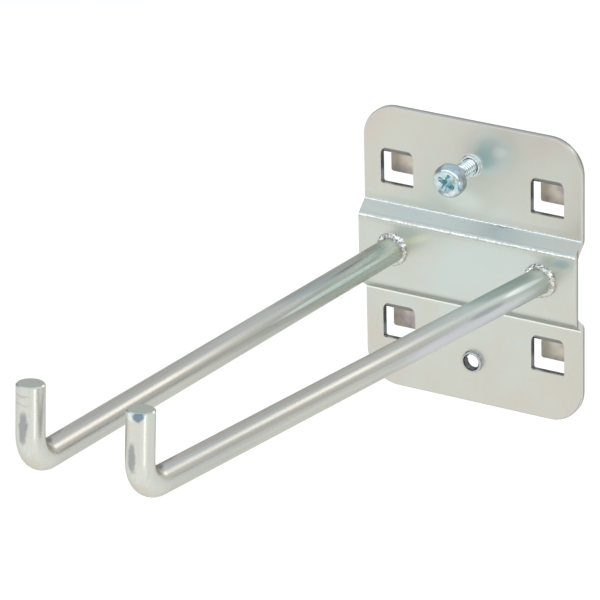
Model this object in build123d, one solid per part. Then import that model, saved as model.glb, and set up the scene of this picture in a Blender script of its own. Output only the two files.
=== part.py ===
from build123d import *
import os
from math import radians, tan

# Pegboard tool holder: a pressed plate with four hook lugs, two upturned prongs and a locking screw.
# Millimetres and degrees. The panel's face is the plane Y = 0, with the four hooks centred on the origin.
# The prongs point to -Y, the lugs reach to +Y and +Z is up.

# Hook grid of the panel, the same across and down
hook_pitch = 38.0

# Plate pressed from one sheet
sheet_thickness = 1.5
sheet_bend_radius = 0.6
plate_width = 55.0
plate_height = 68.0
plate_drop = 0.7
plate_corner_radius = 8.0
edge_round = 0.2

# Band raised across the middle of the plate
band_height = 16.2
band_raise = 3.1
band_slope_run = 2.7

# Hook lugs, each set back out of its own window
window_width = 8.3
window_height = 8.8
window_top_radius = 1.9
window_bottom_radius = 0.4
lug_set_back = 4.4
lug_neck_drop = 1.8
lug_end_gap = 1.3
lug_side_clearance = 0.2
lug_bend_radius = 0.1
lug_corner_radius = 0.6

# Tapped collars drawn forward, one above and one below the band
tapped_hole_inset = 10.2
tapped_hole_diameter = 4.0
collar_wall = 0.5
collar_height = 1.0
collar_rim_radius = 0.3
collar_entry_radius = 0.7
collar_foot_radius = 0.15

# Prongs bent from round bar
prong_diameter = 6.0
prong_spacing = 37.6
prong_base_height = 0.3
prong_reach = 155.7
prong_rise_angle = 5.25
prong_toe_in_angle = 2.2
prong_bend_radius = 6.5
post_height = 17.2
post_chamfer = 0.3
flash_offset = 0.1
flash_radius = 0.75

# Locking screw in the upper collar, as far out as it is supplied
thread_clearance = 0.15
screw_length = 10.0
screw_stand_off = 7.7
screw_end_chamfer = 0.5
head_diameter = 7.6
head_height = 2.9
head_round = 1.4
recess_span = 4.2
recess_root_span = 1.5
recess_width = 1.1
recess_depth = 1.7
recess_angle = 24.0

# Places that the pieces share
plate_front = -sheet_thickness
band_front = plate_front - band_raise
lug_front = plate_front + lug_set_back
collar_rim = plate_front - collar_height
plate_middle = -plate_drop
lower_hole_height = plate_middle - plate_height / 2 + tapped_hole_inset
upper_hole_height = plate_middle + plate_height / 2 - tapped_hole_inset
through_all = 4 * (band_raise + sheet_thickness)


def bent_sheet(front_line, width, inner_radius):
    """Sheet of even thickness with round bends, from its front face's (Y, Z) corners, top to bottom."""
    corners = [Vector(y, z) for y, z in front_line]
    runs = [(end - start).normalized() for start, end in zip(corners, corners[1:])]
    rearward = [Vector(-run.Y, run.X) for run in runs]
    rear_corners = [corners[0] + rearward[0] * sheet_thickness]
    outer_radius = inner_radius + sheet_thickness
    front_radii = []
    rear_radii = []
    for corner, before, after in zip(corners[1:-1], rearward, rearward[1:]):
        mitre = (before + after) * (sheet_thickness / (1 + before.dot(after)))
        rear_corners.append(corner + mitre)
        bends_rearward = before.cross(after).Z > 0
        front_radii.append(outer_radius if bends_rearward else inner_radius)
        rear_radii.append(inner_radius if bends_rearward else outer_radius)
    rear_corners.append(corners[-1] + rearward[-1] * sheet_thickness)
    with BuildSketch(Plane.YZ) as section:
        with BuildLine():
            front = FilletPolyline(*corners, radius=front_radii)
            rear = FilletPolyline(*rear_corners, radius=rear_radii)
            Line(front @ 0, rear @ 0)
            Line(front @ 1, rear @ 1)
        make_face()
    return extrude(section.sketch, amount=width / 2, both=True)


def front_prism(outline, x, z):
    """Prism along Y through the whole plate, from an outline drawn as seen from the front."""
    return extrude(Plane.XZ * Pos(x, z) * outline, amount=through_all, both=True)


def sheet_blank():
    """Plate without its windows and collars: rounded corners and a band raised across the middle."""
    top = plate_middle + plate_height / 2
    bottom = plate_middle - plate_height / 2
    band_half = band_height / 2
    foot_half = band_half + band_slope_run
    profile = [
        (plate_front, top),
        (plate_front, plate_middle + foot_half),
        (band_front, plate_middle + band_half),
        (band_front, plate_middle - band_half),
        (plate_front, plate_middle - foot_half),
        (plate_front, bottom),
    ]
    outline = RectangleRounded(plate_width, plate_height, plate_corner_radius)
    blank = bent_sheet(profile, plate_width, sheet_bend_radius) & front_prism(outline, 0, plate_middle)
    rim = blank.faces().filter_by(lambda face: abs(face.normal_at().Y) < 0.01)
    front = blank.faces().filter_by(lambda face: face.normal_at().Y < -0.1)
    front_edges = front.edges()
    rolled_edges = [edge for edge in rim.edges() if edge in front_edges]
    return fillet(rolled_edges, edge_round)


def lug_fold_run():
    """How far the fold at the top of a lug starts above the corner that it rounds."""
    neck = Vector(lug_set_back, -lug_neck_drop)
    fold_angle = neck.get_angle(Vector(0, -1))
    return (lug_bend_radius + sheet_thickness) * tan(radians(fold_angle / 2))


def window_outline():
    """Window of one lug, drawn about its centre."""
    with BuildSketch() as outline:
        Rectangle(window_width, window_height)
        fillet(outline.vertices().group_by(Axis.Y)[-1], window_top_radius)
        fillet(outline.vertices().group_by(Axis.Y)[0], window_bottom_radius)
    return outline.sketch


def hook_lug():
    """Lug about the centre of its window: folded back from the upper edge, then straight down."""
    window_half = window_height / 2
    fold_corner = window_half - lug_fold_run()
    front_line = [
        (plate_front, window_half + sheet_thickness),
        (plate_front, fold_corner),
        (lug_front, fold_corner - lug_neck_drop),
        (lug_front, lug_end_gap - window_half),
    ]
    lug = bent_sheet(front_line, window_width - 2 * lug_side_clearance, lug_bend_radius)
    end_corners = lug.edges().filter_by(Axis.Y).group_by(Axis.Z)[0]
    return fillet(end_corners, lug_corner_radius)


def flared_post(radius, height, flare_radius, base_depth):
    """Round post along -Y that flares out at its foot on the plane Y = 0, with a wider base behind it."""
    base_radius = radius + 2 * flare_radius
    with BuildSketch() as section:
        with BuildLine():
            Polyline(
                (0, -base_depth),
                (base_radius, -base_depth),
                (base_radius, 0),
                (radius, 0),
                (radius, height),
                (0, height),
                close=True,
            )
        make_face()
        fillet(section.vertices().sort_by_distance((radius, 0))[0], flare_radius)
    return Rot(0, 0, 180) * revolve(section.sketch, Axis.Y)


def mounting_plate():
    """Pressed plate with four windows, four lugs and two tapped collars."""
    plate = sheet_blank()
    hook_offsets = (-hook_pitch / 2, hook_pitch / 2)
    hook_places = [(x, z) for x in hook_offsets for z in hook_offsets]
    for x, z in hook_places:
        plate -= front_prism(window_outline(), x, z)
    for x, z in hook_places:
        plate += Pos(x, 0, z) * hook_lug()
    hole_radius = tapped_hole_diameter / 2
    collar = flared_post(hole_radius + collar_wall, collar_height, collar_foot_radius, sheet_thickness / 2)
    collar = fillet(collar.edges().sort_by(Axis.Y)[0], collar_rim_radius)
    bore = flared_post(hole_radius, through_all, collar_entry_radius, through_all)
    for z in (lower_hole_height, upper_hole_height):
        plate += Pos(0, plate_front, z) * collar
        plate -= Pos(0, 0, z) * bore
    return plate


def prong(side):
    """Bar from the band out to its upturned post. side is -1 for the left prong and 1 for the right."""
    foot = Vector(side * prong_spacing / 2, band_front, prong_base_height)
    slope = Vector(-side * tan(radians(prong_toe_in_angle)), -1, tan(radians(prong_rise_angle)))
    along = slope.normalized()
    upward = (Vector(0, 0, 1) - along * along.Z).normalized()
    corner = foot + slope * prong_reach
    tip = corner + upward * post_height
    start = foot - along * prong_diameter
    path = FilletPolyline(start, corner, tip, radius=prong_bend_radius)
    bar = sweep(Plane(start, z_dir=along) * Circle(prong_diameter / 2), path=path)
    bar = chamfer(bar.faces().sort_by(Axis.Z)[-1].edges(), post_chamfer)
    flash = Plane(foot, z_dir=along) * Torus(prong_diameter / 2 + flash_offset, flash_radius)
    front_side = Pos(0, band_front, 0) * Box(
        4 * plate_width, 2 * prong_reach, 4 * plate_height, align=(Align.CENTER, Align.MAX, Align.CENTER)
    )
    return (bar + flash) & front_side


def locking_screw():
    """Pan-head screw with a cross recess, its thread as a plain shank that clears the tapped hole."""
    head = Cylinder(head_diameter / 2, head_height, align=(Align.CENTER, Align.CENTER, Align.MAX))
    head = fillet(head.edges().group_by(Axis.Z)[0], head_round)
    shank_radius = tapped_hole_diameter / 2 - thread_clearance
    shank = Cylinder(shank_radius, screw_length, align=(Align.CENTER, Align.CENTER, Align.MIN))
    shank = chamfer(shank.edges().group_by(Axis.Z)[-1], screw_end_chamfer)
    arm_section = make_face(
        Polyline(
            (-recess_span / 2, -head_height),
            (recess_span / 2, -head_height),
            (recess_root_span / 2, recess_depth - head_height),
            (-recess_root_span / 2, recess_depth - head_height),
            close=True,
        )
    )
    arm = extrude(Plane.XZ * arm_section, amount=recess_width / 2, both=True)
    screw = head + shank
    for quarter in (0, 90):
        screw -= Rot(0, 0, recess_angle + quarter) * arm
    seat_centre = (0, collar_rim - screw_stand_off, upper_hole_height)
    return Plane(seat_centre, x_dir=(1, 0, 0), z_dir=(0, 1, 0)) * screw


nodes = {
    "mounting_plate": mounting_plate(),
    "left_prong": prong(-1),
    "right_prong": prong(1),
    "locking_screw": locking_screw(),
}
os.makedirs("parts", exist_ok=True)
for name, solid in nodes.items():
    export_step(solid, f"parts/{name}.step")
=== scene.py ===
import math

import bmesh
import bpy
from mathutils import Matrix, Vector, noise


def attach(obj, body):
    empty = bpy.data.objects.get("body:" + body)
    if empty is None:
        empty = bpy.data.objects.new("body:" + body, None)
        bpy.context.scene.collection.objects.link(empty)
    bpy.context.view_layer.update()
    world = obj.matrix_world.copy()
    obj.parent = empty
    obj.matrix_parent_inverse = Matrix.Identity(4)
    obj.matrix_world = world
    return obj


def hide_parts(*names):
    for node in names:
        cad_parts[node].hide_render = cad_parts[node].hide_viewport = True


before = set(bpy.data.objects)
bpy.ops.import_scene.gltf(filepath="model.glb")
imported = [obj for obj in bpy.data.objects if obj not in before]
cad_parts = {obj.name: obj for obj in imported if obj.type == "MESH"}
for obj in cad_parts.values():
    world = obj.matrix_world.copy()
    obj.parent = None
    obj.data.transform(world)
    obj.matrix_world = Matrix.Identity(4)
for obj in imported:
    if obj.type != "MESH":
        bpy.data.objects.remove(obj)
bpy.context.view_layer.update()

# Camera
# A long lens in front of the holder, to its right and above it, turned a little in its mount.
# The picture is square, and its scale comes from the 38 mm grid of the hook windows.
mm = 0.001
camera_azimuth = math.radians(31.106)
camera_elevation = math.radians(23.914)
camera_roll = math.radians(-1.379)
camera_distance = 1133.1 * mm
camera_offset_right = -39.208 * mm
camera_offset_up = -9.228 * mm
sensor_width_mm = 36
picture_width_px = 600
focal_length_px = 5070.4


def direction_to(azimuth, elevation):
    """Direction from the holder to the camera or a lamp. Azimuth 0 is straight in front."""
    return Vector((
        math.sin(azimuth) * math.cos(elevation),
        -math.cos(azimuth) * math.cos(elevation),
        math.sin(elevation),
    ))


backward = direction_to(camera_azimuth, camera_elevation)
level = Vector((math.cos(camera_azimuth), math.sin(camera_azimuth), 0))
roll = Matrix.Rotation(camera_roll, 3, backward)
rightward = roll @ level
upward = roll @ backward.cross(level)
camera_data = bpy.data.cameras.new("camera")
camera_data.sensor_width = sensor_width_mm
camera_data.lens = sensor_width_mm * focal_length_px / picture_width_px
camera = bpy.data.objects.new("camera", camera_data)
camera.matrix_world = Matrix((rightward, upward, backward)).transposed().to_4x4()
camera.location = (
    backward * camera_distance + rightward * camera_offset_right + upward * camera_offset_up
)
bpy.context.scene.collection.objects.link(camera)
bpy.context.scene.camera = camera

# Mounting plate
# One pressing of 1.5 mm sheet steel with a band raised across it, four windows with their hook
# lugs and two drawn collars. It is zinc plated after pressing, and its solid keeps its shape.


def linear(hex_colour):
    """Linear RGBA values of an sRGB hex colour."""
    channels = [int(hex_colour[i : i + 2], 16) / 255 for i in (1, 3, 5)]
    return [c / 12.92 if c <= 0.04045 else ((c + 0.055) / 1.055) ** 2.4 for c in channels] + [1]


def add_node(tree, kind, sockets=(), stops=(), **settings):
    """Adds a node. Sockets are linked to an output or set to a value, and stops fill a colour ramp.

    Sockets that share a name go by number. In a Mix node 0 is the share of the second one, 2 and 3
    are its two numbers, and 6 and 7 are its two colours.
    """
    made = tree.nodes.new(kind)
    for name, value in settings.items():
        setattr(made, name, value)
    for name, value in dict(sockets).items():
        if isinstance(value, bpy.types.NodeSocket):
            tree.links.new(value, made.inputs[name])
        else:
            made.inputs[name].default_value = value
    if stops:
        elements = made.color_ramp.elements
        while len(elements) < len(stops):
            elements.new(0.5)
        for element, (position, hex_colour) in zip(elements, stops):
            element.position = position
            element.color = linear(hex_colour)
    return made


def new_metal(name):
    """A metal with nodes, and its tree, its surface shader and its object coordinates."""
    metal = bpy.data.materials.new(name)
    metal.use_nodes = True
    surface = metal.node_tree.nodes["Principled BSDF"]
    surface.inputs["Metallic"].default_value = 1
    place = add_node(metal.node_tree, "ShaderNodeTexCoord")
    return metal, metal.node_tree, surface, place


def add_oval_tint(tree, under, vector, centre, turn, half_sizes, fade, strength, hex_colour):
    """Puts an oval of colour over a colour. It serves for real stains and marks and for painted
    light and shade, and fades out over a share of its radius.
    """
    about_oval = add_node(tree, "ShaderNodeMapping", {
        "Vector": vector, "Location": centre, "Rotation": turn, "Scale": Vector(half_sizes) * mm,
    }, vector_type="TEXTURE")
    oval = add_node(tree, "ShaderNodeTexGradient", {
        "Vector": about_oval.outputs["Vector"],
    }, gradient_type="SPHERICAL")
    oval_share = add_node(tree, "ShaderNodeMapRange", {
        "Value": oval.outputs["Fac"], "From Max": fade, "To Max": strength,
    }, interpolation_type="SMOOTHSTEP")
    return add_node(tree, "ShaderNodeMix", {
        0: oval_share.outputs["Result"], 6: under, 7: linear(hex_colour),
    }, data_type="RGBA").outputs[2]


# Blue passivated zinc on rolled sheet: satin grey, with a faint green, yellow and pink cast from
# the passivation film. The film is cooler in the middle of a plate and warmer towards its rim.
plate_middle = -0.7 * mm
plate_half_diagonal = 44 * mm
tint_patch = 10 * mm
tint_contrast = 1.35
tint_shift = -0.54
middle_coolness = 0.75
sheet_zinc, tree, surface, place = new_metal("blue_passivated_zinc_on_sheet")
patches = add_node(tree, "ShaderNodeTexNoise", {
    "Vector": place.outputs["Object"], "Scale": 1 / tint_patch, "Detail": 6, "Roughness": 0.62,
})
about_middle = add_node(tree, "ShaderNodeMapping", {
    "Vector": place.outputs["Object"], "Location": (0, 0, plate_middle),
    "Scale": (plate_half_diagonal,) * 3,
}, vector_type="TEXTURE")
middle = add_node(tree, "ShaderNodeTexGradient", {
    "Vector": about_middle.outputs["Vector"],
}, gradient_type="SPHERICAL")
patchy = add_node(tree, "ShaderNodeMath", {
    0: patches.outputs["Fac"], 1: tint_contrast, 2: tint_shift,
}, operation="MULTIPLY_ADD")
film = add_node(tree, "ShaderNodeMath", {
    0: middle.outputs["Fac"], 1: middle_coolness, 2: patchy.outputs["Value"],
}, operation="MULTIPLY_ADD")
film_colour = add_node(tree, "ShaderNodeValToRGB", {"Fac": film.outputs["Value"]}, stops=[
    (0.0, "#C5BCB6"), (0.22, "#C7C1B8"), (0.5, "#C6C6BD"), (0.8, "#C5CBC6"),
])

# The lugs lie behind the plate, where the film is thicker and turns beige and brown, and they are
# painted darker there as painted shade, the shade that falls behind the windows.
lug_depth = 1.5 * mm
lug_patch = 4 * mm
place_parts = add_node(tree, "ShaderNodeSeparateXYZ", {"Vector": place.outputs["Object"]})
on_lug = add_node(tree, "ShaderNodeMapRange", {
    "Value": place_parts.outputs["Y"], "From Min": 0, "From Max": lug_depth,
})
lug_patches = add_node(tree, "ShaderNodeTexNoise", {
    "Vector": place.outputs["Object"], "Scale": 1 / lug_patch, "Detail": 2,
})
lug_film_and_shade_colour = add_node(tree, "ShaderNodeValToRGB", {"Fac": lug_patches.outputs["Fac"]}, stops=[
    (0.3, "#A39799"), (0.5, "#C0B6AC"), (0.7, "#CEC6B2"),
])
sheet_colour = add_node(tree, "ShaderNodeMix", {
    0: on_lug.outputs["Result"], 6: film_colour.outputs["Color"], 7: lug_film_and_shade_colour.outputs["Color"],
}, data_type="RGBA").outputs[2]

# Painted light on the film: beside the upper collar a teal and pale painted reflection of the screw
# head with a painted glint, right of the welds painted reflections of the bars, straw on the left
# and blue on the right, and a pale patch of painted light below the screw. Each has a centre in
# millimetres, a turn in degrees, half sizes in millimetres and a colour.
painted_light_on_film = [
    ((5.4, -1.5, 27.2), 0, (6.5, 1.4, 6.5), "#D9E2E0"),
    ((3.4, -1.5, 25.0), 0, (3.6, 1.4, 5.0), "#C4DAD9"),
    ((6.9, -1.5, 27.4), -20, (2.8, 1.4, 2.0), "#EFF2E8"),
    ((-12.4, -4.6, 3.9), -24, (5.5, 1.4, 1.4), "#DCDBC6"),
    ((24.2, -4.6, 5.2), -13, (3.6, 1.4, 1.5), "#9DAFB5"),
    ((-3.0, -1.5, 14.5), 0, (8.0, 1.4, 4.0), "#D6DDD7"),
]
painted_light_fade = 0.8
painted_light_strength = 0.8
for centre, turn, half_sizes, hex_colour in painted_light_on_film:
    sheet_colour = add_oval_tint(
        tree, sheet_colour, place.outputs["Object"], Vector(centre) * mm,
        (0, math.radians(turn), 0), half_sizes, painted_light_fade, painted_light_strength, hex_colour,
    )

# Walls that the punch has sheared are torn, and in the windows they are painted dark as painted
# shade, as the folds of the lugs are. They are smoother and paler on the sides of the lugs and
# round the rim, where only the rear half is torn.
# A wall is known by its flatness, the share of its normal that points forward or back. From here
# on, sizes without mm are millimetres from the plate's middle, as the nodes measure them.
wall_flatness = 0.6
slope_flatness = 0.64
windows_reach_across = 24.5
windows_reach_up = 26.5
rim_tear_of_plate = -0.25
rim_tear_of_band = -3.35
rim_tear_half_depth = 0.4
facing = add_node(tree, "ShaderNodeSeparateXYZ", {"Vector": place.outputs["Normal"]})
flatness = add_node(tree, "ShaderNodeMath", {0: facing.outputs["Y"]}, operation="ABSOLUTE")
sheared = add_node(tree, "ShaderNodeMapRange", {
    "Value": flatness.outputs["Value"], "From Min": wall_flatness, "From Max": slope_flatness,
    "To Min": 1, "To Max": 0,
})
about_middle_mm = add_node(tree, "ShaderNodeMapping", {
    "Vector": place.outputs["Object"], "Location": (0, 0, plate_middle), "Scale": (mm, mm, mm),
}, vector_type="TEXTURE")
about_middle_parts = add_node(tree, "ShaderNodeSeparateXYZ", {
    "Vector": about_middle_mm.outputs["Vector"],
})
from_middle = add_node(tree, "ShaderNodeVectorMath", {
    0: about_middle_mm.outputs["Vector"],
}, operation="ABSOLUTE")
from_middle_parts = add_node(tree, "ShaderNodeSeparateXYZ", {
    "Vector": from_middle.outputs["Vector"],
})
beside_windows = add_node(tree, "ShaderNodeMath", {
    0: from_middle_parts.outputs["X"], 1: windows_reach_across,
}, operation="GREATER_THAN")
beyond_windows = add_node(tree, "ShaderNodeMath", {
    0: from_middle_parts.outputs["Z"], 1: windows_reach_up,
}, operation="GREATER_THAN")
on_rim = add_node(tree, "ShaderNodeMath", {
    0: beside_windows.outputs["Value"], 1: beyond_windows.outputs["Value"],
}, operation="MAXIMUM")
smooth_wall = add_node(tree, "ShaderNodeMath", {
    0: on_rim.outputs["Value"], 1: on_lug.outputs["Result"],
}, operation="MAXIMUM")
behind_plate = add_node(tree, "ShaderNodeMath", {
    0: about_middle_parts.outputs["Y"], 1: rim_tear_of_plate, 2: rim_tear_half_depth,
}, operation="COMPARE")
behind_band = add_node(tree, "ShaderNodeMath", {
    0: about_middle_parts.outputs["Y"], 1: rim_tear_of_band, 2: rim_tear_half_depth,
}, operation="COMPARE")
rim_tear = add_node(tree, "ShaderNodeMath", {
    0: behind_plate.outputs["Value"], 1: behind_band.outputs["Value"],
}, operation="MAXIMUM")
rim_colour = add_node(tree, "ShaderNodeMix", {
    0: rim_tear.outputs["Value"], 6: linear("#C6C3BB"), 7: linear("#8F8D8A"),
}, data_type="RGBA")
# Dark grey on the walls of the windows is painted shade.
wall_colour = add_node(tree, "ShaderNodeMix", {
    0: smooth_wall.outputs["Value"], 6: linear("#66686E"), 7: rim_colour.outputs[2],
}, data_type="RGBA")

# The fold at the top of each lug starts behind the plate's face and looks down, and is painted
# dark as painted shade.
fold_start = -1.49 * mm
fold_turn_begins = -0.05
fold_turn_ends = -0.2
turned_down = add_node(tree, "ShaderNodeMapRange", {
    "Value": facing.outputs["Z"], "From Min": fold_turn_begins, "From Max": fold_turn_ends,
})
behind_face = add_node(tree, "ShaderNodeMath", {
    0: place_parts.outputs["Y"], 1: fold_start,
}, operation="GREATER_THAN")
fold_shade = add_node(tree, "ShaderNodeMath", {
    0: turned_down.outputs["Result"], 1: behind_face.outputs["Value"],
}, operation="MULTIPLY")

# The lower slope looks down and is painted darker, as painted shade, darkest at its foot, where
# a thin bright line is a painted highlight.
lower_slope_foot = -11.2
lower_slope_top = -7.0
slope_turn_begins = -0.1
slope_turn_ends = -0.7
foot_highlight_height = -10.85
foot_highlight_half_width = 0.26
front_facing = -0.1
slope_span = add_node(tree, "ShaderNodeMath", {
    0: about_middle_parts.outputs["Z"], 1: (lower_slope_foot + lower_slope_top) / 2,
    2: (lower_slope_top - lower_slope_foot) / 2,
}, operation="COMPARE")
slope_place = add_node(tree, "ShaderNodeMapRange", {
    "Value": about_middle_parts.outputs["Z"],
    "From Min": lower_slope_foot, "From Max": lower_slope_top,
})
slope_shade_and_highlight = add_node(tree, "ShaderNodeValToRGB", {"Fac": slope_place.outputs["Result"]}, stops=[
    (0.12, "#E9E9E2"), (0.16, "#9B9E99"), (0.5, "#A5A8A2"), (0.9, "#B9BBB4"),
])
slope_turn = add_node(tree, "ShaderNodeMapRange", {
    "Value": facing.outputs["Z"], "From Min": slope_turn_begins, "From Max": slope_turn_ends,
})
in_front = add_node(tree, "ShaderNodeMath", {
    0: facing.outputs["Y"], 1: front_facing,
}, operation="LESS_THAN")
on_foot = add_node(tree, "ShaderNodeMath", {
    0: about_middle_parts.outputs["Z"], 1: foot_highlight_height, 2: foot_highlight_half_width,
}, operation="COMPARE")
foot_highlight = add_node(tree, "ShaderNodeMath", {
    0: on_foot.outputs["Value"], 1: in_front.outputs["Value"],
}, operation="MULTIPLY")
slope_shade_or_highlight = add_node(tree, "ShaderNodeMath", {
    0: slope_turn.outputs["Result"], 1: foot_highlight.outputs["Value"],
}, operation="MAXIMUM")
on_slope = add_node(tree, "ShaderNodeMath", {
    0: slope_shade_or_highlight.outputs["Value"], 1: slope_span.outputs["Value"],
}, operation="MULTIPLY")
# Painted shade on the lower slope, with a painted highlight along its foot.
sloped_colour = add_node(tree, "ShaderNodeMix", {
    0: on_slope.outputs["Value"], 6: sheet_colour, 7: slope_shade_and_highlight.outputs["Color"],
}, data_type="RGBA")
# Painted shade on the folds of the lugs.
fold_shaded_colour = add_node(tree, "ShaderNodeMix", {
    0: fold_shade.outputs["Value"], 6: sloped_colour.outputs[2], 7: linear("#86837F"),
}, data_type="RGBA")
shaded_and_torn_colour = add_node(tree, "ShaderNodeMix", {
    0: sheared.outputs["Result"], 6: fold_shaded_colour.outputs[2], 7: wall_colour.outputs[2],
}, data_type="RGBA")

# The punch rolls the edge of the front face inwards, and walls that look up are painted pale
# there, as painted light that falls on the rolled edge.
rolled_depth = -0.95 * mm
looking_up = 0.5
turned_up = add_node(tree, "ShaderNodeMath", {
    0: facing.outputs["Z"], 1: looking_up,
}, operation="GREATER_THAN")
near_face = add_node(tree, "ShaderNodeMath", {
    0: place_parts.outputs["Y"], 1: rolled_depth,
}, operation="LESS_THAN")
lit_rolled_edge = add_node(tree, "ShaderNodeMath", {
    0: turned_up.outputs["Value"], 1: near_face.outputs["Value"],
}, operation="MULTIPLY")
lit_rolled_wall = add_node(tree, "ShaderNodeMath", {
    0: lit_rolled_edge.outputs["Value"], 1: sheared.outputs["Result"],
}, operation="MULTIPLY")
walled_colour = add_node(tree, "ShaderNodeMix", {
    0: lit_rolled_wall.outputs["Value"], 6: shaded_and_torn_colour.outputs[2], 7: linear("#BDBCB5"),
}, data_type="RGBA")

# The collars are drawn over a polished punch, so they are glossy outside. The upper one is painted
# brighter than the lower, as painted light, and the bores are painted dark, as painted shade.
# Distances run from the axis of a hole, so the depth is pressed flat.
collar_height = 23.8
collar_radius = 2.75
collar_fade = 0.2
bore_radius = 2.05
pressed_flat = 1000
about_hole = add_node(tree, "ShaderNodeMapping", {
    "Vector": from_middle.outputs["Vector"], "Location": (0, 0, collar_height),
    "Scale": (1, pressed_flat, 1),
}, vector_type="TEXTURE")
from_hole = add_node(tree, "ShaderNodeVectorMath", {
    0: about_hole.outputs["Vector"],
}, operation="LENGTH")
near_collar = add_node(tree, "ShaderNodeMapRange", {
    "Value": from_hole.outputs["Value"],
    "From Min": collar_radius, "From Max": collar_radius - collar_fade,
})
in_bore = add_node(tree, "ShaderNodeMath", {
    0: from_hole.outputs["Value"], 1: bore_radius,
}, operation="LESS_THAN")
is_upper = add_node(tree, "ShaderNodeMath", {
    0: about_middle_parts.outputs["Z"], 1: 0,
}, operation="GREATER_THAN")
# The upper collar is painted brighter, as painted light, and the bores dark, as painted shade.
collar_tone_and_light = add_node(tree, "ShaderNodeMix", {
    0: is_upper.outputs["Value"], 6: linear("#B0B4B5"), 7: linear("#D4D7D8"),
}, data_type="RGBA")
collar_and_bore_shade = add_node(tree, "ShaderNodeMix", {
    0: in_bore.outputs["Value"], 6: collar_tone_and_light.outputs[2], 7: linear("#4E4B4A"),
}, data_type="RGBA")
collared_colour = add_node(tree, "ShaderNodeMix", {
    0: near_collar.outputs["Result"], 6: walled_colour.outputs[2], 7: collar_and_bore_shade.outputs[2],
}, data_type="RGBA")

# The press rubs and stretches the sheet along the bends, so the light there breaks into glints.
# The real grain is finer than this, and is drawn coarse so that it shows.
sheet_grain = 0.7 * mm
grain_height = 0.1 * mm
bend_flatness_low = (0.665, 0.72)
bend_flatness_high = (0.94, 0.99)
flat_grain_strength = 0.05
bend_begins = add_node(tree, "ShaderNodeMapRange", {
    "Value": flatness.outputs["Value"],
    "From Min": bend_flatness_low[0], "From Max": bend_flatness_low[1],
})
bend_strength = add_node(tree, "ShaderNodeMapRange", {
    "Value": flatness.outputs["Value"],
    "From Min": bend_flatness_high[0], "From Max": bend_flatness_high[1],
    "To Min": 1, "To Max": flat_grain_strength,
})
grain_strength = add_node(tree, "ShaderNodeMath", {
    0: bend_begins.outputs["Result"], 1: bend_strength.outputs["Result"],
}, operation="MULTIPLY")
grain = add_node(tree, "ShaderNodeTexNoise", {
    "Vector": place.outputs["Object"], "Scale": 1 / sheet_grain, "Detail": 2,
})
grain_bump = add_node(tree, "ShaderNodeBump", {
    "Height": grain.outputs["Fac"], "Strength": grain_strength.outputs["Value"],
    "Distance": grain_height,
})

# The sheet is satin, glossier in some places than in others, and the upper bends are duller,
# because they are stretched most, and painted greyer, as painted shade that tones down their glint.
# Most of a noise lies between noise_low and noise_high.
noise_low = 0.3
noise_high = 0.7
gloss_patch = 5 * mm
sheet_roughness_low = 0.32
sheet_roughness_high = 0.39
upper_bends_height = 9.5
upper_bends_reach = 3.0
bent_slightly = 0.1
bent_fully = 0.5
stretch_roughness = 0.1
gloss = add_node(tree, "ShaderNodeTexNoise", {
    "Vector": place.outputs["Object"], "Scale": 1 / gloss_patch, "Detail": 4,
})
sheet_roughness = add_node(tree, "ShaderNodeMapRange", {
    "Value": gloss.outputs["Fac"], "From Min": noise_low, "From Max": noise_high,
    "To Min": sheet_roughness_low, "To Max": sheet_roughness_high,
})
at_upper_bends = add_node(tree, "ShaderNodeMath", {
    0: about_middle_parts.outputs["Z"], 1: upper_bends_height, 2: upper_bends_reach,
}, operation="COMPARE")
stretched_roughness = add_node(tree, "ShaderNodeMath", {
    0: at_upper_bends.outputs["Value"], 1: stretch_roughness, 2: sheet_roughness.outputs["Result"],
}, operation="MULTIPLY_ADD")
bent = add_node(tree, "ShaderNodeMapRange", {
    "Value": grain_strength.outputs["Value"], "From Min": bent_slightly, "From Max": bent_fully,
})
upper_bend = add_node(tree, "ShaderNodeMath", {
    0: bent.outputs["Result"], 1: at_upper_bends.outputs["Value"],
}, operation="MULTIPLY")
# The upper bends are painted greyer, as painted shade.
plate_colour = add_node(tree, "ShaderNodeMix", {
    0: upper_bend.outputs["Value"], 6: collared_colour.outputs[2], 7: linear("#B9BDB9"),
}, data_type="RGBA").outputs[2]

# Thin rubs along the two upper bends are glossier and painted lighter, as painted highlights that
# are ragged and broken. Each has a height and half a width.
bend_rubs_and_highlights = [(10.85, 0.26), (7.75, 0.3)]
rub_break = 0.55 * mm
rub_wander = 0.8
polished_roughness = 0.18
broken = add_node(tree, "ShaderNodeTexNoise", {
    "Vector": place.outputs["Object"], "Scale": 1 / rub_break, "Detail": 3,
})
ragged_height = add_node(tree, "ShaderNodeMath", {
    0: broken.outputs["Fac"], 1: rub_wander, 2: about_middle_parts.outputs["Z"],
}, operation="MULTIPLY_ADD")
polished = near_collar.outputs["Result"]
for rub_height, rub_half_width in bend_rubs_and_highlights:
    along_bend = add_node(tree, "ShaderNodeMath", {
        0: ragged_height.outputs["Value"], 1: rub_height + rub_wander / 2, 2: rub_half_width,
    }, operation="COMPARE")
    on_rub_highlight = add_node(tree, "ShaderNodeMath", {
        0: along_bend.outputs["Value"], 1: in_front.outputs["Value"],
    }, operation="MULTIPLY")
    plate_colour = add_node(tree, "ShaderNodeMix", {
        0: on_rub_highlight.outputs["Value"], 6: plate_colour, 7: linear("#C6CBCA"),
    }, data_type="RGBA").outputs[2]
    polished = add_node(tree, "ShaderNodeMath", {
        0: polished, 1: on_rub_highlight.outputs["Value"],
    }, operation="MAXIMUM").outputs["Value"]
plate_roughness = add_node(tree, "ShaderNodeMix", {
    0: polished, 2: stretched_roughness.outputs["Value"], 3: polished_roughness,
})
tree.links.new(plate_colour, surface.inputs["Base Color"])
tree.links.new(plate_roughness.outputs[0], surface.inputs["Roughness"])
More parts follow.
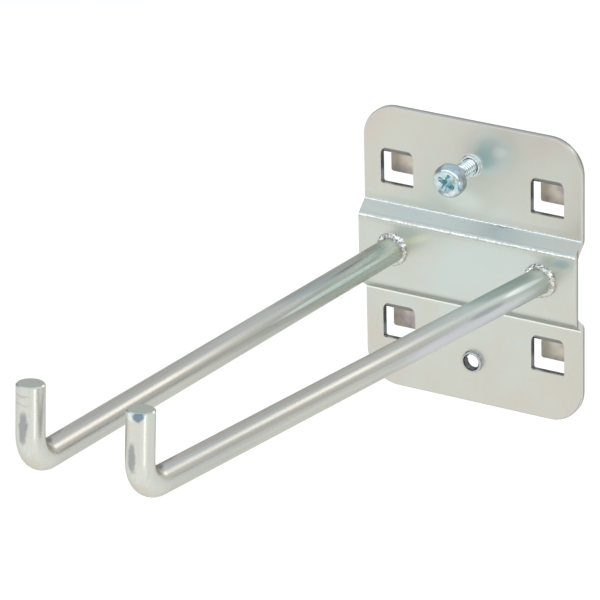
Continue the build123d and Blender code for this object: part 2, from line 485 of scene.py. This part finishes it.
tree.links.new(grain_bump.outputs["Normal"], surface.inputs["Normal"])
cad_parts["mounting_plate"].material_slots[0].material = sheet_zinc

# Thread in the lower collar
# The tap leaves a helical ridge in the drawn collar, which is empty and open to view from both
# sides. The upper collar keeps a plain bore, because the screw slides there without its turn.
tapped_root = 2.05 * mm
tapped_crest = 1.68 * mm
tapped_ridge = [
    (tapped_root, 0.0), (tapped_crest, 0.4), (tapped_crest, 0.55), (tapped_root, 0.95),
]
tapped_turns = 1.5
tapped_start = Vector((0, -2.42, -24.5)) * mm
merge_distance = 0.001 * mm

# The real pitch is 0.7 mm. It is drawn a little coarse, so that the turns show.
thread_pitch = 0.8 * mm
facets_per_turn = 40


def add_ridge(shape, section, turns):
    """Adds a thread ridge round +Y: a closed section of (radius, share of the pitch) as a helix."""
    corners = [shape.verts.new((radius, share * thread_pitch, 0)) for radius, share in section]
    start = shape.faces.new(corners)
    bmesh.ops.spin(
        shape, geom=corners + start.edges[:] + [start], cent=(0, 0, 0), axis=(0, 1, 0),
        dvec=(0, thread_pitch / facets_per_turn, 0),
        angle=math.tau * turns, steps=round(facets_per_turn * turns),
    )


def close_shell(shape):
    """Merges the doubled vertices of a shape and turns its faces outwards."""
    bmesh.ops.remove_doubles(shape, verts=shape.verts, dist=merge_distance)
    bmesh.ops.recalc_face_normals(shape, faces=shape.faces)


def as_object(shape, name):
    """Puts a bmesh into the scene as an object of its own."""
    mesh = bpy.data.meshes.new(name)
    shape.to_mesh(mesh)
    shape.free()
    made = bpy.data.objects.new(name, mesh)
    bpy.context.scene.collection.objects.link(made)
    return made


def finish_piece(shape, name, metal, body, sharp_angle=40):
    """Makes a piece of a bmesh, smooth up to sharp edges, with its metal, body and slot."""
    close_shell(shape)
    piece = as_object(shape, name)
    piece.data.shade_smooth()
    piece.data.set_sharp_from_angle(angle=math.radians(sharp_angle))
    piece.data.materials.append(metal)
    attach(piece, body)
    return piece


# Zinc in the thread: rough, and painted dark in uneven patches, as painted shade in the bore.
shade_patch_size = 0.4 * mm
shaded_thread_zinc, tree, surface, place = new_metal("tapped_thread_zinc_in_painted_shade")
shade_patches = add_node(tree, "ShaderNodeTexNoise", {
    "Vector": place.outputs["Object"], "Scale": 1 / shade_patch_size, "Detail": 2,
})
thread_shade_colour = add_node(tree, "ShaderNodeValToRGB", {"Fac": shade_patches.outputs["Fac"]}, stops=[
    (0.35, "#434344"), (0.65, "#77767A"),
])
surface.inputs["Roughness"].default_value = 0.4
tree.links.new(thread_shade_colour.outputs["Color"], surface.inputs["Base Color"])

tapped_thread = bmesh.new()
add_ridge(tapped_thread, tapped_ridge, tapped_turns)
bmesh.ops.translate(tapped_thread, verts=tapped_thread.verts, vec=tapped_start)
finish_piece(tapped_thread, "lower_collar_thread", shaded_thread_zinc, "holder")

# Prongs
# Two lengths of 6 mm drawn steel bar, cut off square, bent up at the front and welded to the band.
# They are zinc plated with the plate, and their solids keep their shape.
bar_spacing = 37.6 * mm
bar_foot_front = -4.6 * mm
bar_foot_height = 0.3 * mm
bar_reach = 155.7 * mm
bar_rise = math.radians(5.25)
bar_toe_in = math.radians(2.2)
post_height = 17.2 * mm


def bar_place(side):
    """Foot, corner and axes of one prong: X to the right, Y back along the bar, Z up the post."""
    foot = Vector((side * bar_spacing / 2, bar_foot_front, bar_foot_height))
    slope = Vector((-side * math.tan(bar_toe_in), -1, math.tan(bar_rise)))
    back_along = -slope.normalized()
    up_post = (Vector((0, 0, 1)) - back_along * back_along.z).normalized()
    axes = Matrix((back_along.cross(up_post), back_along, up_post)).transposed()
    return foot, foot + slope * bar_reach, axes


# Zinc on drawn bar: brighter than the sheet, with lines of the drawing die along it, marks of the
# bending tool on each post, a teal tint beside the weld, and painted light and shade. The real
# lines are finer than this, and are drawn coarse so that they show. Sizes without mm are
# millimetres from the corner, where the middle lines of bar and post meet.
line_width = 0.8 * mm
bar_line_length = 60 * mm
post_line_length = 25 * mm
line_height = 0.05 * mm
line_roughness_low = 0.23
line_roughness_high = 0.33
bend_near = 2
bend_far = 10
post_painted_light = 0.5
teal_begins = 85
teal_ends = 150
teal_share = 0.5
noise_middle = 0.5
mark_and_light_ragged = 1.3 * mm
mark_and_light_fade = 0.45
cut_skin = 0.05
dull_half_length = 40
dull_roughness = 0.24
left_dull_middle = 92
right_dull_middle = 120


def bar_zinc(side, name, dull_middle, marks_and_light):
    """Zinc on drawn bar. marks_and_light are marks and painted light and shade, each (place from
    the corner, half sizes, colour, strength).
    """
    metal, tree, surface, place = new_metal(name)
    foot, corner, axes = bar_place(side)
    turn = axes.to_euler()
    on_bar = add_node(tree, "ShaderNodeMapping", {
        "Vector": place.outputs["Object"], "Location": foot, "Rotation": turn,
        "Scale": (line_width, bar_line_length, line_width),
    }, vector_type="TEXTURE")
    on_post = add_node(tree, "ShaderNodeMapping", {
        "Vector": place.outputs["Object"], "Location": corner, "Rotation": turn,
        "Scale": (line_width, line_width, post_line_length),
    }, vector_type="TEXTURE")
    from_corner = add_node(tree, "ShaderNodeMapping", {
        "Vector": place.outputs["Object"], "Location": corner, "Rotation": turn,
        "Scale": (mm, mm, mm),
    }, vector_type="TEXTURE")
    from_corner_mm = add_node(tree, "ShaderNodeSeparateXYZ", {
        "Vector": from_corner.outputs["Vector"],
    })
    bar_lines = add_node(tree, "ShaderNodeTexNoise", {
        "Vector": on_bar.outputs["Vector"], "Scale": 1, "Detail": 3, "Roughness": 0.6,
    })
    post_lines = add_node(tree, "ShaderNodeTexNoise", {
        "Vector": on_post.outputs["Vector"], "Scale": 1, "Detail": 3, "Roughness": 0.6,
    })
    along_bar = add_node(tree, "ShaderNodeMapRange", {
        "Value": from_corner_mm.outputs["Y"], "From Min": bend_near, "From Max": bend_far,
    }, interpolation_type="SMOOTHSTEP")
    lines = add_node(tree, "ShaderNodeMix", {
        0: along_bar.outputs["Result"], 2: post_lines.outputs["Fac"], 3: bar_lines.outputs["Fac"],
    })
    lines_colour = add_node(tree, "ShaderNodeValToRGB", {"Fac": lines.outputs[0]}, stops=[
        (0.25, "#B4B3AF"), (0.45, "#BEBDB8"), (0.6, "#C6C4BD"), (0.75, "#CDCBC3"),
    ])

    # The post is painted paler than the bar, as painted light, and the rear end by the weld is
    # tinted teal.
    up_the_post = add_node(tree, "ShaderNodeMapRange", {
        "Value": from_corner_mm.outputs["Y"], "From Min": bend_far, "From Max": bend_near,
        "To Max": post_painted_light,
    }, interpolation_type="SMOOTHSTEP")
    lit_post_colour = add_node(tree, "ShaderNodeMix", {
        0: up_the_post.outputs["Result"], 6: lines_colour.outputs["Color"], 7: linear("#D8D6CD"),
    }, data_type="RGBA")
    near_weld = add_node(tree, "ShaderNodeMapRange", {
        "Value": from_corner_mm.outputs["Y"], "From Min": teal_begins, "From Max": teal_ends,
        "To Max": teal_share,
    }, interpolation_type="SMOOTHSTEP")
    colour = add_node(tree, "ShaderNodeMix", {
        0: near_weld.outputs["Result"], 6: lit_post_colour.outputs[2], 7: linear("#CBDCD8"),
    }, data_type="RGBA").outputs[2]

    # Marks and painted light and shade have ragged edges on the post and clean ones along the bar.
    raggedness = add_node(tree, "ShaderNodeTexNoise", {
        "Vector": place.outputs["Object"], "Scale": 1 / mark_and_light_ragged, "Detail": 3,
    })
    either_way = add_node(tree, "ShaderNodeVectorMath", {
        0: raggedness.outputs["Color"], 1: (noise_middle,) * 3,
    }, operation="SUBTRACT")
    ragged_on_post = add_node(tree, "ShaderNodeMapRange", {
        "Value": from_corner_mm.outputs["Y"], "From Min": bend_far, "From Max": bend_near,
        "To Max": mark_and_light_ragged,
    })
    ragged_shift = add_node(tree, "ShaderNodeVectorMath", {
        0: either_way.outputs["Vector"], "Scale": ragged_on_post.outputs["Result"],
    }, operation="SCALE")
    ragged_place = add_node(tree, "ShaderNodeVectorMath", {
        0: place.outputs["Object"], 1: ragged_shift.outputs["Vector"],
    }, operation="ADD")
    for centre, half_sizes, hex_colour, strength in marks_and_light:
        colour = add_oval_tint(
            tree, colour, ragged_place.outputs["Vector"], corner + axes @ (Vector(centre) * mm),
            turn, half_sizes, mark_and_light_fade, strength, hex_colour,
        )

    # The end that was cut off is greener, and one stretch of the bar is worn dull.
    cut_end = add_node(tree, "ShaderNodeMath", {
        0: from_corner_mm.outputs["Z"], 1: post_height / mm - cut_skin,
    }, operation="GREATER_THAN")
    colour = add_node(tree, "ShaderNodeMix", {
        0: cut_end.outputs["Value"], 6: colour, 7: linear("#BCC4BD"),
    }, data_type="RGBA").outputs[2]
    lines_roughness = add_node(tree, "ShaderNodeMapRange", {
        "Value": lines.outputs[0], "From Min": noise_low, "From Max": noise_high,
        "To Min": line_roughness_low, "To Max": line_roughness_high,
    })
    about_dull_stretch = add_node(tree, "ShaderNodeMapping", {
        "Vector": from_corner.outputs["Vector"], "Location": (0, dull_middle, 0),
        "Scale": (dull_half_length,) * 3,
    }, vector_type="TEXTURE")
    dull_stretch = add_node(tree, "ShaderNodeTexGradient", {
        "Vector": about_dull_stretch.outputs["Vector"],
    }, gradient_type="SPHERICAL")
    roughness = add_node(tree, "ShaderNodeMath", {
        0: dull_stretch.outputs["Fac"], 1: dull_roughness, 2: lines_roughness.outputs["Result"],
    }, operation="MULTIPLY_ADD")
    line_bump = add_node(tree, "ShaderNodeBump", {
        "Height": lines.outputs[0], "Strength": 0.12, "Distance": line_height,
    })

    # Reflections at a grazing angle are slightly dimmed, which gives the bar a thin dark outline.
    surface.inputs["Specular Tint"].default_value = linear("#E4E1DB")
    tree.links.new(colour, surface.inputs["Base Color"])
    tree.links.new(roughness.outputs["Value"], surface.inputs["Roughness"])
    tree.links.new(line_bump.outputs["Normal"], surface.inputs["Normal"])
    return metal


# Grey flats and thin lines of the bending tool on the posts, a pink patch on the right post and a
# beige rub on each outer bend. Painted shade lies in the inner bends, painted reflections and
# highlights along the bars near the welds, and a painted glint and reflection on the right post's
# top.
# Painted shade in the inner bend of each prong, with a streak of it along the bar.
inner_bend_shade = ((-0.7, 6.0, 3.2), (2.2, 2.8, 2.0), "#62635E", 0.75)
inner_bend_shade_streak = ((-1.0, 10.0, 2.8), (1.2, 5.0, 1.4), "#8A8B86", 0.6)
outer_rub = ((0, -0.4, 0.2), (2.6, 3.0, 3.4), "#CBC0AE", 0.5)
left_marks_and_light = [
    ((0, -3.0, 8.5), (1.2, 1.5, 4.4), "#7F7D84", 0.68),
    ((-0.8, -2.9, 15.2), (3.2, 1.6, 0.3), "#A9A6A6", 0.5),
    ((-0.8, -2.9, 13.4), (3.2, 1.6, 0.3), "#B5B3B0", 0.5),
    inner_bend_shade,
    inner_bend_shade_streak,
    outer_rub,
    # Painted reflections and a painted highlight along the bar near the weld.
    ((-0.4, 128, 3.0), (2.4, 32, 1.8), "#9B9E98", 0.6),
    ((1.2, 126, 2.7), (0.9, 26, 0.9), "#A9B6C0", 0.6),
    ((2.74, 125, 1.2), (0.55, 34, 0.55), "#F0FAF7", 0.9),
]
right_marks_and_light = [
    ((0, -3.0, 7.6), (1.15, 1.5, 4.0), "#7F7D84", 0.68),
    # A painted white glint and a painted blue reflection on the post's top.
    ((0.4, -2.9, 16.4), (3.6, 1.4, 1.1), "#E8ECEE", 0.65),
    ((1.1, -2.7, 16.5), (1.6, 1.4, 1.3), "#5F7288", 0.85),
    ((-0.8, -2.9, 13.6), (1.6, 1.2, 0.8), "#D9C3B2", 0.5),
    inner_bend_shade,
    inner_bend_shade_streak,
    outer_rub,
    # Painted reflections and a painted highlight along the bar near the weld.
    ((0, 140, 3.0), (2.2, 18, 1.7), "#9CB2AF", 0.6),
    ((2.9, 122, -0.6), (1.5, 34, 2.2), "#D3D1D8", 0.7),
    ((2.3, 145, 1.95), (0.7, 10, 0.65), "#F2FAF8", 0.9),
    ((2.74, 129, 1.2), (0.7, 9, 0.7), "#A5A3AC", 0.6),
]
left_zinc = bar_zinc(-1, "zinc_on_left_bar", left_dull_middle, left_marks_and_light)
right_zinc = bar_zinc(1, "zinc_on_right_bar", right_dull_middle, right_marks_and_light)
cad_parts["left_prong"].material_slots[0].material = left_zinc
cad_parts["right_prong"].material_slots[0].material = right_zinc

# Welds
# Each bar is butted on the band and welded, which leaves a ragged ring of steel round its foot.
# It is plated with the rest, and covers the plain ring of the prong's solid.
ring_radius = 3.1 * mm
ring_facets = 110
bead_radius = 0.78 * mm
bead_facets = 18
bead_lump = 1.9 * mm
bead_grit = 0.4 * mm
top_swell = 0.15 * mm
lump_height = 0.34 * mm
grit_height = 0.16 * mm
bead_sharp_angle = 18

# Zinc on a weld: it glitters in bright and dark grains, and heat leaves it straw coloured below.
grain_depth = 0.12 * mm
straw_height = 0.2 * mm
bright_height = 2.2 * mm
straw_grains = 0.5
weld_zinc, tree, surface, place = new_metal("zinc_on_weld")
grains = add_node(tree, "ShaderNodeTexVoronoi", {
    "Vector": place.outputs["Object"], "Scale": 1 / bead_grit,
})
grain_tone = add_node(tree, "ShaderNodeSeparateColor", {"Color": grains.outputs["Color"]})
grain_colour = add_node(tree, "ShaderNodeValToRGB", {"Fac": grain_tone.outputs["Red"]}, stops=[
    (0.0, "#8B8987"), (0.3, "#B6B5B1"), (0.6, "#D6D5D2"), (1.0, "#F2F2F0"),
])
weld_bump = add_node(tree, "ShaderNodeBump", {
    "Height": grains.outputs["Distance"], "Strength": 0.5, "Distance": grain_depth,
})
weld_parts = add_node(tree, "ShaderNodeSeparateXYZ", {"Vector": place.outputs["Object"]})
on_top = add_node(tree, "ShaderNodeMapRange", {
    "Value": weld_parts.outputs["Z"], "From Min": straw_height, "From Max": bright_height,
    "To Min": straw_grains,
})
weld_colour = add_node(tree, "ShaderNodeMix", {
    0: on_top.outputs["Result"], 6: linear("#C5C0B3"), 7: grain_colour.outputs["Color"],
}, data_type="RGBA")
surface.inputs["Roughness"].default_value = 0.25
tree.links.new(weld_colour.outputs[2], surface.inputs["Base Color"])
tree.links.new(weld_bump.outputs["Normal"], surface.inputs["Normal"])


def turn_round(shape, steps):
    """Turns the outline in a bmesh once round the Y axis."""
    bmesh.ops.spin(
        shape, geom=shape.verts[:] + shape.edges[:], cent=(0, 0, 0), axis=(0, 1, 0),
        dvec=(0, 0, 0), angle=math.tau, steps=steps, use_merge=True,
    )


for side, name in ((-1, "left_weld"), (1, "right_weld")):
    foot, _, axes = bar_place(side)
    bead = bmesh.new()
    section = bmesh.ops.create_circle(bead, segments=bead_facets, radius=bead_radius)
    bmesh.ops.translate(bead, verts=section["verts"], vec=(ring_radius, 0, 0))
    turn_round(bead, ring_facets)
    bmesh.ops.transform(
        bead, verts=bead.verts, matrix=Matrix.Translation(foot) @ axes.to_4x4()
    )
    close_shell(bead)
    bead.normal_update()
    for vertex in bead.verts:
        lump = lump_height * noise.noise(vertex.co / bead_lump)
        grit = grit_height * noise.noise(vertex.co / bead_grit)
        swell = top_swell * max(0, (vertex.co.z - foot.z) / ring_radius)
        vertex.co += vertex.normal * max(0, swell + lump + grit)
    finish_piece(bead, name, weld_zinc, "holder", sharp_angle=bead_sharp_angle)

# Locking screw
# A bought M4 pan head screw with a cross recess, cold headed with a rolled thread and bright zinc
# plated. It stands in the upper collar and is screwed in to lock the holder to the panel.
screw_seat = Vector((0, -10.2, 23.1)) * mm
screw_length = 10.0 * mm
screw_point = 0.5 * mm
screw_facets = 72
thread_root = 1.5 * mm
thread_crest = 1.93 * mm
ridge_foot = 1.4 * mm
screw_ridge = [
    (ridge_foot, 0.0), (thread_crest, 0.42), (thread_crest, 0.54), (ridge_foot, 0.96),
]
screw_turns = 11
head_radius = 3.8 * mm
head_height = 2.9 * mm
head_round = 1.4 * mm
head_round_facets = 6
head_crown = 0.08 * mm
seat_chamfer = 0.25 * mm

# The cross recess is two wings, each with its span, its depth below the face and its width.
wing_mouth = Vector((4.83, -0.3, 1.21)) * mm
wing_root = Vector((1.5, 1.7, 0.825)) * mm
wing_end_round = 0.36 * mm
wing_end_facets = 4
recess_angle = math.radians(24)

# Bright zinc on a small cold headed part: glossy and bluish, with cloudy lighter places.
cloud_size = 1.2 * mm
screw_roughness_low = 0.08
screw_roughness_high = 0.18
screw_zinc, tree, surface, place = new_metal("bright_zinc_on_screw")
clouds = add_node(tree, "ShaderNodeTexNoise", {
    "Vector": place.outputs["Object"], "Scale": 1 / cloud_size, "Detail": 3,
})
cloud_colour = add_node(tree, "ShaderNodeValToRGB", {"Fac": clouds.outputs["Fac"]}, stops=[
    (0.3, "#A6BABC"), (0.5, "#C3D0D2"), (0.7, "#DEE2E5"),
])
screw_roughness = add_node(tree, "ShaderNodeMapRange", {
    "Value": clouds.outputs["Fac"], "From Min": noise_low, "From Max": noise_high,
    "To Min": screw_roughness_low, "To Max": screw_roughness_high,
})

# The groove of the thread is painted dark, as painted shade. Radii are in millimetres.
groove_top = 1.85
groove_bottom = 1.55
groove_darkness = 0.6
from_seat = add_node(tree, "ShaderNodeMapping", {
    "Vector": place.outputs["Object"], "Location": screw_seat, "Scale": (mm, 1, mm),
}, vector_type="TEXTURE")
from_axis = add_node(tree, "ShaderNodeVectorMath", {
    0: from_seat.outputs["Vector"],
}, operation="LENGTH")
in_groove = add_node(tree, "ShaderNodeMapRange", {
    "Value": from_axis.outputs["Value"], "From Min": groove_top, "From Max": groove_bottom,
    "To Max": groove_darkness,
})
from_seat_parts = add_node(tree, "ShaderNodeSeparateXYZ", {"Vector": from_seat.outputs["Vector"]})
on_shank = add_node(tree, "ShaderNodeMath", {
    0: from_seat_parts.outputs["Y"], 1: 0,
}, operation="GREATER_THAN")
groove_shade = add_node(tree, "ShaderNodeMath", {
    0: in_groove.outputs["Result"], 1: on_shank.outputs["Value"],
}, operation="MULTIPLY")
groove_shaded_colour = add_node(tree, "ShaderNodeMix", {
    0: groove_shade.outputs["Value"], 6: cloud_colour.outputs["Color"], 7: linear("#6F7F85"),
}, data_type="RGBA")

# The passivation gathers in the cross recess and dries teal.
recess_reach = 2.5
face_skin = 0.05 * mm
below_face = add_node(tree, "ShaderNodeMath", {
    0: from_seat_parts.outputs["Y"], 1: face_skin - head_height,
}, operation="GREATER_THAN")
among_wings = add_node(tree, "ShaderNodeMath", {
    0: from_axis.outputs["Value"], 1: recess_reach,
}, operation="LESS_THAN")
in_head = add_node(tree, "ShaderNodeMath", {
    0: below_face.outputs["Value"], 1: on_shank.outputs["Value"],
}, operation="SUBTRACT")
in_recess = add_node(tree, "ShaderNodeMath", {
    0: in_head.outputs["Value"], 1: among_wings.outputs["Value"],
}, operation="MULTIPLY")
screw_colour = add_node(tree, "ShaderNodeMix", {
    0: in_recess.outputs["Value"], 6: groove_shaded_colour.outputs[2], 7: linear("#B2CDD2"),
}, data_type="RGBA")

# The rounded shoulder of the head is painted darker, as painted shade.
shoulder_begins = 2.7
shoulder_ends = 3.5
shoulder_shade_share = 0.55
on_shoulder = add_node(tree, "ShaderNodeMapRange", {
    "Value": from_axis.outputs["Value"], "From Min": shoulder_begins, "From Max": shoulder_ends,
    "To Max": shoulder_shade_share,
}, interpolation_type="SMOOTHSTEP")
shoulder_shaded_colour = add_node(tree, "ShaderNodeMix", {
    0: on_shoulder.outputs["Result"], 6: screw_colour.outputs[2], 7: linear("#949EA8"),
}, data_type="RGBA")
tree.links.new(shoulder_shaded_colour.outputs[2], surface.inputs["Base Color"])
tree.links.new(screw_roughness.outputs["Result"], surface.inputs["Roughness"])

# Head and plain core, turned from their outline of (radius, distance behind the seat).
core = bmesh.new()
shoulder = (head_radius, -head_height)
outline = [
    (0, -head_height - head_crown),
    (head_radius - head_round, -head_height),
    shoulder,
    (head_radius, -seat_chamfer),
    (head_radius - seat_chamfer, 0),
    (thread_root, 0),
    (thread_root, screw_length - screw_point),
    (thread_root - screw_point, screw_length),
    (0, screw_length),
]
points = [core.verts.new((radius, behind, 0)) for radius, behind in outline]
for pair in zip(points, points[1:]):
    core.edges.new(pair)
bmesh.ops.bevel(
    core, geom=[points[outline.index(shoulder)]], offset=head_round, offset_type="OFFSET",
    segments=head_round_facets, profile=0.5, affect="VERTICES", material=-1,
)
turn_round(core, screw_facets)
close_shell(core)
headed_core = as_object(core, "screw_core")

# Two crossed wings of the heading punch cut the recess. Each is a cube drawn out to a wedge.
punches = []
for quarter in (0, math.pi / 2):
    wing = bmesh.new()
    bmesh.ops.create_cube(wing, size=1)
    for vertex in wing.verts:
        span, depth, width = wing_mouth if vertex.co.y < 0 else wing_root
        vertex.co = (vertex.co.x * span, depth - head_height, vertex.co.z * width)
    wing_corners = [edge for edge in wing.edges if (edge.verts[0].co - edge.verts[1].co).y]
    bmesh.ops.bevel(
        wing, geom=wing_corners, offset=wing_end_round, offset_type="OFFSET",
        segments=wing_end_facets, profile=0.5, affect="EDGES", material=-1,
    )
    bmesh.ops.rotate(
        wing, verts=wing.verts, matrix=Matrix.Rotation(recess_angle + quarter, 3, "Y")
    )
    bmesh.ops.recalc_face_normals(wing, faces=wing.faces)
    punch = as_object(wing, "recess_wing")
    punches.append(punch)
    cut = headed_core.modifiers.new("recess", "BOOLEAN")
    cut.operation = "DIFFERENCE"
    cut.solver = "EXACT"
    cut.object = punch
graph = bpy.context.evaluated_depsgraph_get()
recessed_core = bpy.data.meshes.new_from_object(headed_core.evaluated_get(graph))
for helper in [headed_core] + punches:
    bpy.data.objects.remove(helper)

# The ridge of the thread runs round the core, and tapers off with the point of the screw.
screw = bmesh.new()
add_ridge(screw, screw_ridge, screw_turns)
for vertex in screw.verts:
    radius = math.hypot(vertex.co.x, vertex.co.z)
    from_end = screw_length - vertex.co.y
    limit = thread_crest - max(0, screw_point - from_end)
    if radius > limit:
        vertex.co.x *= limit / radius
        vertex.co.z *= limit / radius
screw.from_mesh(recessed_core)
bmesh.ops.translate(screw, verts=screw.verts, vec=screw_seat)
screw_piece = finish_piece(screw, "locking_screw_with_thread", screw_zinc, "screw")
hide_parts("locking_screw")

# Floor and light
# The holder hangs on its panel, well above a plain white floor, in the soft light of a white
# studio: a wide lamp in front, one behind on the right and a small low one on the right.
floor_height = -300 * mm
floor_half_width = 5000 * mm
floor_sheet = bmesh.new()
bmesh.ops.create_grid(floor_sheet, x_segments=1, y_segments=1, size=floor_half_width)
bmesh.ops.translate(floor_sheet, verts=floor_sheet.verts, vec=(0, 0, floor_height))
floor = as_object(floor_sheet, "floor")

# Backlit white paper: matt, and bright enough to leave no shadow in the picture.
white_paper = bpy.data.materials.new("backlit_white_paper")
white_paper.use_nodes = True
paper = white_paper.node_tree.nodes["Principled BSDF"]
paper.inputs["Base Color"].default_value = linear("#F6F4EE")
paper.inputs["Roughness"].default_value = 0.9
paper.inputs["Emission Color"].default_value = linear("#FFF4E8")
paper.inputs["Emission Strength"].default_value = 0.14
floor.data.materials.append(white_paper)

# Each lamp has its name, azimuth and elevation in degrees, distance and size in metres, brightness
# and colour.
lamps = [
    ("front", 0, 24, 1.5, (3.0, 0.8), 1.15, "#FFFEFA"),
    ("back_right", 160, 25, 1.5, (0.5, 0.42), 1.7, "#FFFBF0"),
    ("low_right", 52, -10, 0.7, (0.09, 0.16), 2.2, "#FFFEFA"),
]
for name, azimuth, elevation, distance, size, brightness, hex_colour in lamps:
    towards = direction_to(math.radians(azimuth), math.radians(elevation))
    lamp_data = bpy.data.lights.new(name, "AREA")
    lamp_data.shape = "RECTANGLE"
    lamp_data.size, lamp_data.size_y = size
    lamp_data.energy = brightness * math.pi * size[0] * size[1]
    lamp_data.color = linear(hex_colour)[:3]
    lamp = bpy.data.objects.new(name, lamp_data)
    lamp.rotation_euler = towards.to_track_quat("Z", "Y").to_euler()
    lamp.location = towards * distance
    lamp.visible_camera = False
    bpy.context.scene.collection.objects.link(lamp)

# The studio's walls are white, cooler towards the ceiling and darker low down on the left.
wall_brightness = 1.3
dark_wall_begins = -0.5
dark_wall_ends = -0.85
dark_wall_fades = 0.4
dark_wall_top = 0.55
studio = bpy.data.worlds.new("studio")
studio.use_nodes = True
tree = studio.node_tree
surroundings = tree.nodes["Background"]
around = add_node(tree, "ShaderNodeTexCoord")
direction = add_node(tree, "ShaderNodeSeparateXYZ", {"Vector": around.outputs["Generated"]})
wall_tone = add_node(tree, "ShaderNodeValToRGB", {"Fac": direction.outputs["Z"]}, stops=[
    (0.0, "#CDCCC9"), (0.45, "#C9CACB"), (0.75, "#DEECF7"), (1.0, "#DEECF7"),
])
to_left = add_node(tree, "ShaderNodeMapRange", {
    "Value": direction.outputs["X"], "From Min": dark_wall_begins, "From Max": dark_wall_ends,
}, interpolation_type="SMOOTHSTEP")
below_top = add_node(tree, "ShaderNodeMapRange", {
    "Value": direction.outputs["Z"], "From Min": dark_wall_top, "From Max": dark_wall_fades,
}, interpolation_type="SMOOTHSTEP")
dark_side = add_node(tree, "ShaderNodeMath", {
    0: to_left.outputs["Result"], 1: below_top.outputs["Result"],
}, operation="MULTIPLY")
room_tone = add_node(tree, "ShaderNodeMix", {
    0: dark_side.outputs["Value"], 6: wall_tone.outputs["Color"], 7: linear("#9C9CA9"),
}, data_type="RGBA")
tree.links.new(room_tone.outputs[2], surroundings.inputs["Color"])
surroundings.inputs["Strength"].default_value = wall_brightness
bpy.context.scene.world = studio
bpy.context.scene.view_settings.view_transform = "Standard"

bpy.context.view_layer.update()
